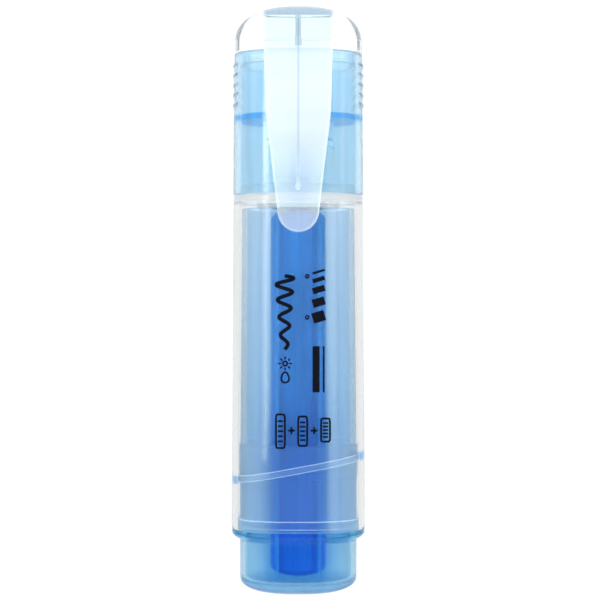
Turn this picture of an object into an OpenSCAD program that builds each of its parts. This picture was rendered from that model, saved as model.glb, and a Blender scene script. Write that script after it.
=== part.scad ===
// Capped highlighter: a clear oval barrel over a tinted ink tube, a fibre reservoir, a chisel nib,
// and a pull-off cap with a clear crown and pocket clip.
// The pen lies on its back. Its axis runs along Y with the cap towards +Y, the clip faces +Z,
// z = 0 is the surface it lies on, and the origin is under the middle of its length.

/* [Overall] */
// Length from the end of the ink tube to the top of the crown
pen_length = 115; // [112:0.5:122]
// Width of the barrel at its wide lower end
barrel_width = 26.2; // [25.8:0.2:28]
// Thickness of the barrel from back to front, without the clip
barrel_thickness = 18; // [17.6:0.2:20]
// Squareness of the oval section, where 2 would be an ellipse
oval_power = 2.6; // [2.4:0.1:3]

/* [Cap] */
// Length of the cap from its mouth to the top of the crown
cap_length = 36.9; // [36.5:0.1:38]
// Height of the clear crown above its seam with the cap
crown_height = 9.6; // [9:0.1:10]
// Wall of the cap
cap_wall = 1.3; // [1.1:0.1:1.4]
// Ribs on each side of the cap, for the fingers
grip_ribs = 5; // [3:1:6]
// Distance from one grip rib to the next
grip_pitch = 1.93; // [1.6:0.05:2]

/* [Clip] */
// Length of the clip from its upper edge on the crown to its rounded tip
clip_length = 40.9; // [37:0.5:43]
// Width of the clip at its root over the crown
clip_width = 13.2; // [11:0.2:14]
// Width of the clip at its round tip
clip_tip_width = 7.8; // [6:0.2:9]
// Thickness of the clip
clip_thickness = 1.7; // [1.4:0.1:2]
// Space between the clip and the cap, where a pocket goes
clip_gap = 1.3; // [1.1:0.1:2]

/* [Barrel] */
// Wall of the clear barrel
barrel_wall = 1.1; // [0.9:0.1:1.2]
// How much narrower each side of the barrel is at its shoulder than at its rim
barrel_draft = 0.4; // [0.2:0.1:0.5]
// Length of the ink tube that shows below the barrel
end_length = 13; // [11:0.5:14]

/* [Ink tube] */
// Wall of the ink tube
tube_wall = 1; // [0.8:0.1:1.1]
// Air gap between the ink tube and the barrel at the sides
tube_gap = 0.5; // [0.45:0.05:0.6]
// Rise of the slanted rib from one side of the tube to the other
slant_rise = 4.9; // [3:0.1:6]
// Thickness of the slanted rib along the pen
slant_rib = 1.4; // [1:0.1:1.8]

/* [Ink and nib] */
// Diameter of the fibre reservoir
reservoir_d = 10.8; // [10:0.2:11]
// Width of the nib's chisel edge
nib_width = 5; // [4:0.2:5.4]
// Thickness of the nib
nib_thickness = 3.6; // [3:0.2:4]

/* [Hidden] */
$fn = 64;

section_points = 64;     // points round each oval section
flat_share = 1.012;      // the oval is drawn this much too thick, then its back and front are cut flat
fit = 0.05;              // clearance of a piece that is pressed into another
slide_fit = 0.2;         // clearance of the cap over the barrel's collar
bore_fn = 96;            // segments of round bores and rods

half_w = barrel_width / 2;
half_t = barrel_thickness / 2;
axis_z = half_t;         // height of the pen's axis over the table

// Places along the pen
y_top = pen_length / 2;
y_end = -pen_length / 2;
y_seam = y_top - crown_height;
y_mouth = y_top - cap_length;
y_shoulder = y_mouth - 0.35;
y_rim = y_end + end_length;
y_collar = y_mouth + 1.8;        // end of the oval collar that the cap's mouth slides over
y_neck = y_mouth + 9.4;          // end of the barrel's round neck
y_tube_top = y_shoulder - 2.45;  // open end of the ink tube
y_flange = y_mouth + 14.3;       // inside face of the cap liner's flange
y_spigot = y_seam - 2;           // lower end of the crown's spigot
y_nib_tip = y_neck + 11.5;
y_clip = y_mouth + 33.2;         // upper edge of the clip's root
y_flex = y_clip - 5.6;           // line about which the clip flexes, at the end of its root

// Half sizes of the oval sections
shoulder_w = half_w - barrel_draft;
mouth_w = shoulder_w + 0.1;
seam_w = mouth_w - 0.2;
tube_rim_w = half_w - barrel_wall - tube_gap;
tube_top_w = shoulder_w - barrel_wall - tube_gap;
tube_t = half_t - barrel_wall - 0.6;
neck_r = half_t - cap_wall - 0.5;
skirt_r = reservoir_d / 2 - 0.15;
land_r = skirt_r + 0.65;         // the nose's land, which the liner's sleeve seals on
nib_r = 3;
stem_r = 1.75;

// Signed power, which shapes the oval
function spow(v, p) = sign(v) * pow(abs(v), p);

// One oval section: half width a, half thickness b, at y, sheared along y by slope times x
function section(y, a, b, slope = 0) = [
    for (i = [0:section_points - 1])
        let (
            t = 360 * i / section_points,
            x = a * spow(cos(t), 2 / oval_power),
            z = b * max(-1, min(1, flat_share * spow(sin(t), 2 / oval_power)))
        )
        [x, y + slope * x, z]
];

// Skins a list of [y, a, b] stations. A closed list makes a ring, and an open one is capped at both ends.
module oval(stations, closed = false, slope = 0) {
    n = section_points;
    m = len(stations);
    points = [for (s = stations) each section(s[0], s[1], s[2], slope)];
    bands = closed ? m : m - 1;
    sides = [
        for (j = [0:bands - 1], i = [0:n - 1])
            let (
                k = (i + 1) % n,
                up = (j + 1) % m,
                p = j * n + i,
                q = j * n + k,
                r = up * n + k,
                s = up * n + i
            )
            each [[p, q, r], [p, r, s]]
    ];
    first_cap = [for (i = [1:n - 2]) [0, i + 1, i]];
    last_cap = [for (i = [1:n - 2]) [(m - 1) * n, (m - 1) * n + i, (m - 1) * n + i + 1]];
    polyhedron(points = points, faces = closed ? sides : concat(first_cap, sides, last_cap), convexity = 6);
}

// A rod, or with r2 a cone, along the pen from y1 to y2
module rod(y1, y2, r, r2 = undef) {
    translate([0, y1, 0])
        rotate([-90, 0, 0])
            cylinder(h = y2 - y1, r1 = r, r2 = is_undef(r2) ? r : r2, $fn = bore_fn);
}

// Everything is drawn round the pen's axis and lifted to its height over the table
module lifted() {
    translate([0, 0, axis_z]) children();
}

// Half width of the barrel's outside at a place along the pen
function barrel_w(y) = half_w - barrel_draft * (y - y_rim) / (y_shoulder - y_rim);

// Clear outer barrel with its shoulder, cap collar and round neck
module barrel() {
    stop_w = 8.1;                // the oval stop ring that the ink tube butts against
    stop_t = 5.9;
    plate = 1.2;                 // thickness of the shoulder
    color([0.93, 0.96, 0.98, 0.35]) lifted() {
        difference() {
            union() {
                oval([
                    [y_rim, half_w - barrel_wall, half_t - barrel_wall],
                    [y_rim, half_w - 0.15, half_t - 0.15],
                    [y_rim + 0.4, half_w, half_t],
                    [y_shoulder - 0.5, barrel_w(y_shoulder - 0.5), half_t],
                    [y_shoulder, shoulder_w - 0.35, half_t - 0.35],
                    [y_shoulder, mouth_w - cap_wall - slide_fit, half_t - cap_wall - slide_fit],
                    [y_collar - 0.3, mouth_w - cap_wall - slide_fit, half_t - cap_wall - slide_fit],
                    [y_collar, mouth_w - cap_wall - slide_fit - 0.3, half_t - cap_wall - slide_fit - 0.3],
                    [y_collar, 2, 2],
                    [y_shoulder - plate, 2, 2],
                    [y_shoulder - plate, shoulder_w - barrel_wall, half_t - barrel_wall]
                ], closed = true);
                rod(y_collar - 0.5, y_neck, neck_r);
                oval([
                    [y_tube_top + 0.1, stop_w - 0.8, stop_t - 0.5],
                    [y_tube_top + 0.1, stop_w, stop_t],
                    [y_shoulder - plate + 0.3, stop_w, stop_t],
                    [y_shoulder - plate + 0.3, stop_w - 0.8, stop_t - 0.5]
                ], closed = true);
            }
            rod(y_tube_top - 1, y_neck + 1, skirt_r + fit);
        }
    }
}

// Tinted ink tube: flange, press-in collar, raised band, slanted rib and inside ribs
module ink_tube() {
    press_w = half_w - barrel_wall - 0.08;
    press_t = half_t - barrel_wall - 0.08;
    band = 0.12;                 // height of the raised band
    band_low = y_rim + 10;
    band_high = band_low + 6.3;
    floor_y = y_end + 2.6;       // inside of the closed end
    flange = 1.3;
    tip = tube_rim_w - 0.05;     // half width of the closed end
    tip_t = tube_t - 0.05;
    // y over the end, and the share of the full section there
    dome = [[0, 0.12], [0.15, 0.35], [0.5, 0.56], [1.05, 0.75], [1.8, 0.885], [2.6, 0.965], [3.5, 1]];
    color([0.55, 0.76, 0.9, 0.6]) lifted() {
        oval(concat(
            [for (d = dome) [y_end + d[0], tip * d[1], tip_t * d[1]]],
            [
                [y_rim - flange - 1, tip, tip_t],
                [y_rim - flange, half_w - 0.45, half_t - 0.45],
                [y_rim - flange + 0.4, half_w - 0.1, half_t - 0.1],
                [y_rim - fit, half_w - 0.1, half_t - 0.1],
                [y_rim - fit, press_w, press_t],
                [y_rim + 1.8, press_w, press_t],
                [y_rim + 2.1, tube_rim_w, tube_t],
                [band_low, tube_rim_w, tube_t],
                [band_low + 0.1, tube_rim_w + band, tube_t + band],
                [band_high, tube_rim_w + band, tube_t + band],
                [band_high + 0.1, tube_rim_w - 0.05, tube_t],
                [y_tube_top, tube_top_w, tube_t],
                [y_tube_top, tube_top_w - tube_wall, tube_t - tube_wall],
                [floor_y + 1.2, tip - tube_wall, tip_t - tube_wall],
                [floor_y, tip - tube_wall - 1.5, tip_t - tube_wall - 1.5]
            ]
        ));
        slanted_rib();
        guide_ribs(floor_y + 1.3);
    }
}

// The ring that stands the tube off the barrel, higher on one side than on the other
module slanted_rib() {
    y_mid = y_rim + 11.85;
    slope = slant_rise / barrel_width;
    low = y_mid - slant_rib / 2;
    high = y_mid + slant_rib / 2;
    reach_w = barrel_w(y_mid + slant_rise / 2) - barrel_wall - 0.1;
    reach_t = half_t - barrel_wall - 0.1;
    oval([
        [low, tube_rim_w - 0.6, tube_t - 0.5],
        [low, reach_w - 0.25, reach_t - 0.25],
        [low + 0.25, reach_w, reach_t],
        [high - 0.25, reach_w, reach_t],
        [high, reach_w - 0.25, reach_t - 0.25],
        [high, tube_rim_w - 0.6, tube_t - 0.5]
    ], closed = true, slope = slope);
}

// Four ribs along the inside of the ink tube, which hold the reservoir in its middle
module guide_ribs(y_low) {
    rib_x = 4.05;
    rib = 0.8;
    rib_in = 4.5;                // the ribs' inner edge, just clear of the wrap
    for (side = [-1, 1], face = [-1, 1])
        translate([side * rib_x - rib / 2, y_low, face > 0 ? rib_in : -tube_t + 0.5])
            cube([rib, y_tube_top - 1 - y_low, tube_t - 0.5 - rib_in]);
}

// Fibre rod that holds the ink, with a hole pierced by the nib's stem
module reservoir() {
    color([0.05, 0.35, 0.8]) lifted()
        difference() {
            union() {
                rod(y_end + 4.4, y_tube_top - 0.2, reservoir_d / 2);
                rod(y_end + 3.6, y_end + 4.4, reservoir_d / 2 - 0.8, reservoir_d / 2);
            }
            rod(y_tube_top - 6.3, y_tube_top + 1, stem_r + fit);
        }
}

// Thin film wound round the fibre rod
module reservoir_wrap() {
    film = 0.12;
    color([0.6, 0.8, 0.95, 0.4]) lifted()
        difference() {
            rod(y_end + 5, y_tube_top - 0.4, reservoir_d / 2 + 0.03 + film);
            rod(y_end + 4, y_tube_top + 1, reservoir_d / 2 + 0.03);
        }
}

// Nose piece: a skirt inside the neck, a flange, a sealing land and a cone round the nib
module nose_holder() {
    color([0.75, 0.87, 0.95]) lifted()
        difference() {
            union() {
                rod(y_tube_top + 0.15, y_neck + 0.5, skirt_r);
                rod(y_neck + fit, y_neck + 1.05, neck_r - 0.3);
                rod(y_neck + 1, y_neck + 3.6, land_r);
                rod(y_neck + 3.6, y_neck + 7, land_r, nib_r + 0.7);
            }
            rod(y_tube_top - 1, y_neck - 2, skirt_r - 0.85);
            rod(y_neck - 3, y_neck + 8, stem_r + fit);
            rod(y_neck + 2, y_neck + 8, nib_r + fit);
            // two air channels beside the stem
            for (side = [-1, 1])
                translate([side * 2.5 - 0.35, y_neck - 3, -0.35])
                    cube([0.7, 6, 0.7]);
        }
}

// Chisel nib: a rounded bar with a slanted wedge tip, on a round stem that reaches into the reservoir
module nib() {
    bar = y_neck + 2.1;
    slant = 2.6;                 // how much further one end of the writing edge reaches than the other
    edge = 0.6;                  // half thickness of the writing edge
    wedge = 4;                   // length of the wedge
    w = nib_width / 2;
    t = nib_thickness / 2;
    color([0.1, 0.4, 0.85]) lifted() {
        rod(y_tube_top - 6, bar + 0.3, stem_r);
        intersection() {
            rod(bar, y_nib_tip + 1, nib_r);
            translate([0, 0, -t])
                linear_extrude(height = nib_thickness)
                    polygon([[-w, bar], [w, bar], [w, y_nib_tip - slant], [-w, y_nib_tip]]);
            translate([-w, 0, 0])
                rotate([90, 0, 90])
                    linear_extrude(height = nib_width)
                        polygon([
                            [bar, -t], [y_nib_tip - wedge, -t], [y_nib_tip, -edge],
                            [y_nib_tip, edge], [y_nib_tip - wedge, t], [bar, t]
                        ]);
        }
    }
}

// Points of the cap's side, from -reach to +reach of half its thickness, moved out by out
function side_arc(a, b, reach, out) = [
    for (i = [-6:6])
        let (z = reach * i / 6)
        [a * pow(1 - pow(abs(z) / (flat_share * b), oval_power), 1 / oval_power) + out, z]
];

// One finger rib on one side of the cap
module grip_rib(y, side) {
    rib = 0.7;
    reach = half_t * 0.52;
    outer = side_arc(mouth_w - 0.1, half_t, reach, 0.12);
    inner = side_arc(mouth_w - 0.1, half_t, reach, -0.5);
    translate([0, y + rib / 2, 0])
        rotate([90, 0, 0])
            mirror([side < 0 ? 1 : 0, 0, 0])
                linear_extrude(height = rib)
                    polygon(concat(outer, [for (i = [len(inner) - 1:-1:0]) inner[i]]));
}

// Tinted cap sleeve with finger ribs on both sides
module cap_body() {
    first_rib = y_seam - 2.1;
    color([0.6, 0.8, 0.93, 0.6]) lifted() {
        oval([
            [y_mouth, mouth_w - cap_wall, half_t - cap_wall],
            [y_mouth, mouth_w - 0.2, half_t - 0.2],
            [y_mouth + 0.3, mouth_w, half_t],
            [y_seam, seam_w, half_t],
            [y_seam, seam_w - cap_wall, half_t - cap_wall]
        ], closed = true);
        for (i = [0:grip_ribs - 1], side = [-1, 1])
            grip_rib(first_rib - i * grip_pitch, side);
    }
}

// Inner cap: an oval flange across the sleeve, with a round cup and sleeve that keep the nib wet
module cap_liner() {
    flange = 1.2;
    flange_w = mouth_w - cap_wall - 0.17;
    flange_t = half_t - cap_wall - 0.07;
    cup_r = land_r + 0.1;
    wall = 0.9;
    color([0.3, 0.66, 0.9, 0.8]) lifted()
        difference() {
            union() {
                oval([[y_flange, flange_w, flange_t], [y_flange + flange, flange_w, flange_t]]);
                rod(y_neck + 1.4, y_spigot - 0.2, cup_r + wall);
            }
            rod(y_neck, y_spigot - 1.2, cup_r);
        }
}

// Clear crown: a hollow dome, its spigot in the sleeve, and the clip's root on two pads
module crown() {
    wall = 1.8;
    straight = 2.2;              // height of the straight side under the dome
    power = 2.3;                 // squareness of the dome's outline
    rise = crown_height - straight;
    // shares of the dome's rise, closer together towards its top
    steps = [0, 0.25, 0.45, 0.62, 0.76, 0.87, 0.945, 0.985];
    inner_w = seam_w - wall - 0.6;
    inner_t = half_t - wall - 0.6;
    pad_low = inner_t + 0.3;     // the pads start inside the dome's wall
    pad_gap = 1;                 // slot between the two pads
    pad_y = y_flex + flex_gap + 0.15;
    color([0.95, 0.97, 0.99, 0.35]) lifted() {
        oval(concat(
            [for (i = [len(steps) - 1:-1:0])
                let (k = pow(1 - pow(steps[i], power), 1 / power))
                [y_seam + straight + (rise - wall) * steps[i], inner_w * k, inner_t * k]],
            [
                [y_spigot, inner_w, inner_t],
                [y_spigot, seam_w - cap_wall - fit - 0.1, half_t - cap_wall - fit - 0.1],
                [y_spigot + 0.3, seam_w - cap_wall - fit, half_t - cap_wall - fit],
                [y_seam + fit, seam_w - cap_wall - fit, half_t - cap_wall - fit],
                [y_seam + fit, seam_w, half_t]
            ],
            [for (s = steps)
                let (k = pow(1 - pow(s, power), 1 / power))
                [y_seam + straight + rise * s, seam_w * k, half_t * k]],
            [[y_top, seam_w * 0.1, half_t * 0.1]]
        ));
        for (side = [0, 1])
            mirror([side, 0, 0])
                translate([pad_gap / 2, pad_y, pad_low])
                    cube([clip_width / 2 - pad_gap / 2 - 0.15, y_clip - 0.1 - pad_y,
                          half_t + clip_gap + 0.1 - pad_low]);
        translate([-clip_width / 2, y_flex + flex_gap, half_t + clip_gap])
            cube([clip_width, y_clip - y_flex - flex_gap, clip_thickness]);
    }
}

flex_r = clip_thickness / 2;     // the blade's upper end is round about its flex line
flex_gap = flex_r + 0.05;        // from the flex line to the end of the root
flex_z = half_t + clip_gap + flex_r;
tip_r = clip_tip_width / 2;
tip_y = y_clip - clip_length + tip_r;
taper_start = 18.3;              // from the clip's upper edge to where it starts to narrow

// Half width of the clip at a distance d below its upper edge: nearly straight, then a softly started taper
function clip_w(d) =
    clip_width / 2 - 0.022 * d
    - taper_rate() * ln(1 + exp(d - taper_start));

// The taper that brings the clip's sides to the width of its round tip
function taper_rate() =
    (clip_width / 2 - 0.022 * (clip_length - tip_r) - tip_r) / (clip_length - tip_r - taper_start);

// One side of the clip's outline from its flex line to the start of its tip, then half of the round tip
function clip_side() = concat(
    [for (i = [0:14]) let (y = y_flex + (tip_y - y_flex) * i / 14) [clip_w(y_clip - y), y]],
    [for (i = [1:8]) [tip_r * cos(90 * i / 8), tip_y - tip_r * sin(90 * i / 8)]]
);

// Clear clip: a blade with a round upper end to flex about, and a keel and a bead on its back
module clip() {
    back = half_t + clip_gap;
    keel = 0.7;
    keel_top = y_mouth + 7;
    bead_y = y_mouth + 0.9;
    bead_r = 0.9;
    low = half_t + 0.4;          // the keel's lower edge over the bead
    side = clip_side();
    color([0.93, 0.97, 1, 0.45]) lifted() {
        translate([0, 0, back])
            linear_extrude(height = clip_thickness)
                polygon(concat(side, [for (i = [len(side) - 2:-1:0]) [-side[i][0], side[i][1]]]));
        translate([-clip_w(y_clip - y_flex), y_flex, flex_z])
            rotate([0, 90, 0])
                cylinder(h = 2 * clip_w(y_clip - y_flex), r = flex_r, $fn = bore_fn);
        translate([-keel / 2, 0, 0])
            rotate([90, 0, 90])
                linear_extrude(height = keel)
                    polygon([
                        [keel_top, back + 0.3],
                        [keel_top, back],
                        [bead_y, low],
                        [bead_y - 0.5, low + 0.1],
                        [bead_y - 0.5, back + 0.3]
                    ]);
        translate([0, bead_y, low - 0.1 + bead_r])
            sphere(r = bead_r, $fn = 32);
    }
}

barrel();
ink_tube();
reservoir();
reservoir_wrap();
nose_holder();
nib();
cap_body();
cap_liner();
crown();
clip();
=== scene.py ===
"""Capped highlighter: clear barrel, tinted ink tube, fibre reservoir, nib, tinted cap, clear crown and clip.

The pen lies on its back along Y with its cap towards +Y and its clip facing +Z. Shapes are worked out in
millimetres round the pen's axis, then lifted to the axis's height and written to the meshes in metres.
"""

import bmesh
import bpy
import numpy as np
from bpy.props import FloatProperty, FloatVectorProperty, IntProperty, PointerProperty
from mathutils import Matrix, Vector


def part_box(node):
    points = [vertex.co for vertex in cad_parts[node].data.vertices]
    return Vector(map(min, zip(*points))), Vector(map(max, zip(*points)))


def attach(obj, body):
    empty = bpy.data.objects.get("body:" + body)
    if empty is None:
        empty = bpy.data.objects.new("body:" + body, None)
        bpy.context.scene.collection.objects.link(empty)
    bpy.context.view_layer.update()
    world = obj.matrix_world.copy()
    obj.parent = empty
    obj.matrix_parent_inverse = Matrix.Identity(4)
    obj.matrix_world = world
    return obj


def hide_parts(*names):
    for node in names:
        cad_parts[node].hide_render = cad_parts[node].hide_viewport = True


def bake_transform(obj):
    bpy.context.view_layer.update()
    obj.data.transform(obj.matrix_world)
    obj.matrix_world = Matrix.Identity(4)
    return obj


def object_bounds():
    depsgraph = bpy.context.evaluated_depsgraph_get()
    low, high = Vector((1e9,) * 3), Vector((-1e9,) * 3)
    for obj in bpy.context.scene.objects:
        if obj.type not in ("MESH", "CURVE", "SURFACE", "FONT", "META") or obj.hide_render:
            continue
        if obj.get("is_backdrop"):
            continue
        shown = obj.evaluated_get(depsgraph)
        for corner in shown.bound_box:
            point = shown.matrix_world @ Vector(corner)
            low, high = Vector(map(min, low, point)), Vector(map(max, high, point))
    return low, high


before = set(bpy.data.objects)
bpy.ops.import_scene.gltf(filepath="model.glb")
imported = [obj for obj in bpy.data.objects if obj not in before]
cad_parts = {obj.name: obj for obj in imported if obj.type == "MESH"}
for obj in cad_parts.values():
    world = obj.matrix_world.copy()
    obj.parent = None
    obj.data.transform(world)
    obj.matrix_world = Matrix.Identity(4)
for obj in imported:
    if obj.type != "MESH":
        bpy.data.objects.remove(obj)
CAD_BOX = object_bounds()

bl_info = {
    "name": "Capped Highlighter",
    "version": (1, 0, 0),
    "blender": (4, 5, 0),
    "location": "View3D > Sidebar > Highlighter",
    "description": "Builds a capped highlighter marker around its packed frame",
    "category": "Object",
}

MM = 0.001
OVAL_POWER = 2.6
FLAT_SHARE = 1.012


def span(node):
    """The lowest and highest corner of a frame node, in millimetres."""
    low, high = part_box(node)
    return np.array(low) / MM, np.array(high) / MM


# Places and half sizes that the frame gives
BARREL_LOW, BARREL_HIGH = span("barrel")
TUBE_LOW, TUBE_HIGH = span("ink_tube")
CAP_LOW, CAP_HIGH = span("cap_body")
CROWN_LOW, CROWN_HIGH = span("crown")
LINER_LOW, LINER_HIGH = span("cap_liner")
CLIP_LOW, CLIP_HIGH = span("clip")
RESERVOIR_LOW, RESERVOIR_HIGH = span("reservoir")
NIB_LOW, NIB_HIGH = span("nib")

HALF_W = BARREL_HIGH[0]
HALF_T = (BARREL_HIGH[2] - BARREL_LOW[2]) / 2
AXIS_Z = BARREL_LOW[2] + HALF_T
Y_RIM = BARREL_LOW[1]
Y_NECK = BARREL_HIGH[1]
Y_END = TUBE_LOW[1]
Y_TUBE_TOP = TUBE_HIGH[1]
Y_MOUTH = CAP_LOW[1]
Y_SEAM = CAP_HIGH[1]
Y_TOP = CROWN_HIGH[1]
Y_SPIGOT = CROWN_LOW[1]
Y_SHOULDER = Y_MOUTH - 0.35
Y_COLLAR = Y_MOUTH + 1.8
# The slanted rib: its middle, and its rise for each millimetre across
RIB_Y = Y_RIM + 11.85
RIB_SLOPE = 4.9 / (2 * HALF_W)
# The liner's flange, the clip's blade over the axis, its root's top, its bending line and its keel's top
FLANGE_Y = Y_MOUTH + 14.3
BLADE_FRONT = CLIP_HIGH[2] - AXIS_Z
BLADE_BACK = BLADE_FRONT - 1.7
ROOT_TOP = Y_MOUTH + 33.2
FLEX_Y = Y_MOUTH + 27.6
KEEL_TOP = Y_MOUTH + 7


# ------------------------------------------------------------------------------------------------
# Sizes and colours
# ------------------------------------------------------------------------------------------------

def size_prop(name, description, default, low, high):
    """A length in metres whose default is given in millimetres."""
    return FloatProperty(
        name=name, description=description, default=default * MM, min=low * MM, max=high * MM,
        unit="LENGTH", subtype="DISTANCE", precision=5,
    )


def colour_prop(name, description, default):
    """A linear colour."""
    return FloatVectorProperty(
        name=name, description=description, default=default, size=3, min=0.0, max=1.0, subtype="COLOR",
    )


class HighlighterSizes(bpy.types.PropertyGroup):
    """Walls, edges and fine features of the pen"""

    barrel_wall: size_prop("Barrel wall", "Wall of the clear barrel", 1.1, 0.9, 1.2)
    barrel_draft: size_prop("Barrel draft", "How much narrower each side is at the shoulder", 0.4, 0.2, 0.5)
    tube_wall: size_prop("Tube wall", "Wall of the tinted ink tube", 1.0, 0.8, 1.1)
    tube_gap: size_prop("Tube gap", "Air between the ink tube and the barrel", 0.5, 0.45, 0.6)
    cap_wall: size_prop("Cap wall", "Wall of the cap sleeve", 1.3, 1.1, 1.4)
    edge: size_prop("Edge softness", "Rounding of moulded edges", 0.18, 0.05, 0.3)
    round_points: IntProperty(
        name="Points round", description="Points round each oval section", default=224, min=96, max=320,
    )


class HighlighterColours(bpy.types.PropertyGroup):
    """Tints of the plastics, the ink and the print"""

    clear: colour_prop("Clear plastic", "Tint of the clear barrel and crown", (0.975, 0.985, 0.99))
    clip: colour_prop("Clip", "Tint of the frosted clear clip", (0.94, 0.995, 1.0))
    tube_top: colour_prop("Ink tube, top", "Tint of the ink tube's wall under the cap", (0.585, 0.76, 0.895))
    tube_low: colour_prop("Ink tube, low", "Tint of the ink tube's wall near the rim", (0.325, 0.605, 0.815))
    tube_end: colour_prop("Ink tube, end", "Tint of the ink tube's closed end", (0.42, 0.66, 0.815))
    cap: colour_prop("Cap", "Tint of one wall of the cap sleeve", (0.58, 0.77, 0.885))
    liner: colour_prop("Liner", "Milky plastic of the inner cap", (0.86, 0.96, 1.0))
    liner_flange: colour_prop("Liner's flange", "Deeper blue of the inner cap's flange", (0.0, 0.49, 0.93))
    ink_top: colour_prop("Ink, top", "Blue of the soaked fibre near the nib", (0.0, 0.37, 0.8))
    ink_low: colour_prop("Ink, low", "Deeper blue of the fibre's soaked end", (0.0, 0.27, 0.84))
    nose: colour_prop("Nose", "Pale plastic of the nose piece", (0.86, 0.94, 0.98))
    print_ink: colour_prop("Print", "Dark ink of the printed marks", (0.002, 0.003, 0.008))


def sizes():
    """The pen's fine sizes in millimetres and its points round, by name."""
    group = bpy.context.scene.highlighter_sizes
    names = ("barrel_wall", "barrel_draft", "tube_wall", "tube_gap", "cap_wall", "edge")
    lengths = {name: getattr(group, name) / MM for name in names}
    return {**lengths, "points": group.round_points}


def colours():
    """The pen's colours."""
    return bpy.context.scene.highlighter_colours


# ------------------------------------------------------------------------------------------------
# Surfaces
# ------------------------------------------------------------------------------------------------

def signed_power(value, power):
    """sign(v) times |v| to the power, which squares up a circle."""
    return np.sign(value) * np.abs(value) ** power


def oval(y, half_w, half_t):
    """A profile row whose section is the pen's flat oval."""
    return (y, half_w, half_t, OVAL_POWER, FLAT_SHARE)


def disc(y, radius):
    """A profile row whose section is a circle."""
    return (y, radius, radius, 2.0, 1.0)


def section(rows, count):
    """Points of the sections of a loft. Each row is (y, a, b, n, flat): x = a cos(t)^(2/n) and
    z = b flat sin(t)^(2/n), cut off at plus and minus b, with signed powers."""
    rows = np.asarray(rows, float)
    y, a, b, n, flat = (rows[:, i, None] for i in range(5))
    t = np.linspace(0, 2 * np.pi, count, endpoint=False)[None, :]
    x = a * signed_power(np.cos(t), 2 / n)
    z = b * np.clip(flat * signed_power(np.sin(t), 2 / n), -1, 1)
    return np.stack([x, np.broadcast_to(y, x.shape), z], axis=-1)


def soften(rows, cut, steps=5, closed=False):
    """Rounds the corners of a profile. Each corner P is cut back by at most cut towards its neighbours, to
    A and B, and becomes the parabola (1-t)^2 A + 2t(1-t) P + t^2 B. A point just outside A and B keeps the
    flats flat."""
    rows = np.asarray(rows, float)
    before, after = np.roll(rows, 1, axis=0), np.roll(rows, -1, axis=0)
    t = np.linspace(0, 1, steps)[:, None]
    out = []
    for i, (p, q, r) in enumerate(zip(before, rows, after)):
        if not closed and i in (0, len(rows) - 1):
            out.append(q[None, :])
            continue
        back, ahead = np.linalg.norm((p - q)[:3]), np.linalg.norm((r - q)[:3])
        near = min(cut, 0.42 * back, 0.42 * ahead)
        a, b = q + (p - q) * near / back, q + (r - q) * near / ahead
        pre, post = q + (p - q) * 1.15 * near / back, q + (r - q) * 1.15 * near / ahead
        curve = (1 - t) ** 2 * a + 2 * t * (1 - t) * q + t ** 2 * b
        out.append(np.vstack([pre, curve, post]))
    return np.vstack(out)


def grid_quads(rows, columns, wrap_rows=False, wrap_columns=True):
    """Corner indices of the quads of a grid of points, row by row."""
    i = np.arange(rows if wrap_rows else rows - 1)[:, None]
    j = np.arange(columns if wrap_columns else columns - 1)[None, :]
    up, right = (i + 1) % rows, (j + 1) % columns
    quads = [i * columns + j, i * columns + right, up * columns + right, up * columns + j]
    return np.stack(np.broadcast_arrays(*quads), axis=-1).reshape(-1, 4)


def outward(points, quads, triangles):
    """Turns faces round if the volume that they enclose, the sum of a . (b x c) / 6, comes out negative."""
    fans = np.vstack([quads[:, [0, 1, 2]], quads[:, [0, 2, 3]], triangles])
    a, b, c = (points[fans[:, k]] for k in range(3))
    if np.einsum("ij,ij->", a, np.cross(b, c)) < 0:
        return quads[:, ::-1], triangles[:, ::-1]
    return quads, triangles


def make_piece(name, points, quads, triangles=None, lift=True, smooth=True):
    """A mesh object from points in millimetres, with its place in its mesh."""
    triangles = np.zeros((0, 3), int) if triangles is None else triangles
    quads, triangles = outward(points, quads, triangles)
    points = (points + np.array([0, 0, AXIS_Z if lift else 0])) * MM
    mesh = bpy.data.meshes.new(name)
    mesh.vertices.add(len(points))
    mesh.vertices.foreach_set("co", points.astype(np.float32).ravel())
    corners = np.concatenate([quads.ravel(), triangles.ravel()])
    sides = np.concatenate([np.full(len(quads), 4), np.full(len(triangles), 3)])
    mesh.loops.add(len(corners))
    mesh.loops.foreach_set("vertex_index", corners.astype(np.int32))
    mesh.polygons.add(len(sides))
    starts = np.concatenate([[0], np.cumsum(sides)[:-1]])
    mesh.polygons.foreach_set("loop_start", starts.astype(np.int32))
    mesh.polygons.foreach_set("use_smooth", np.full(len(sides), smooth))
    mesh.update(calc_edges=True)
    mesh.validate()
    piece = bpy.data.objects.new(name, mesh)
    bpy.context.scene.collection.objects.link(piece)
    return piece


def ring_piece(name, points):
    """A closed shell from a grid whose last row joins its first."""
    rows, count, _ = points.shape
    return make_piece(name, points.reshape(-1, 3), grid_quads(rows, count, wrap_rows=True))


def capped_points(points):
    """A skinned grid closed at both ends, each by a fan to the middle of its last row."""
    rows, count, _ = points.shape
    flat = points.reshape(-1, 3)
    poles = np.stack([points[0].mean(axis=0), points[-1].mean(axis=0)])
    j = np.arange(count)
    k = (j + 1) % count
    start, end = rows * count, rows * count + 1
    first = np.stack([np.full(count, start), k, j], axis=-1)
    last = np.stack([np.full(count, end), (rows - 1) * count + j, (rows - 1) * count + k], axis=-1)
    return np.vstack([flat, poles]), grid_quads(rows, count), np.vstack([first, last])


def capped_piece(name, points):
    """A closed solid from a grid whose rows run from one end to the other."""
    return make_piece(name, *capped_points(points))


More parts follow.
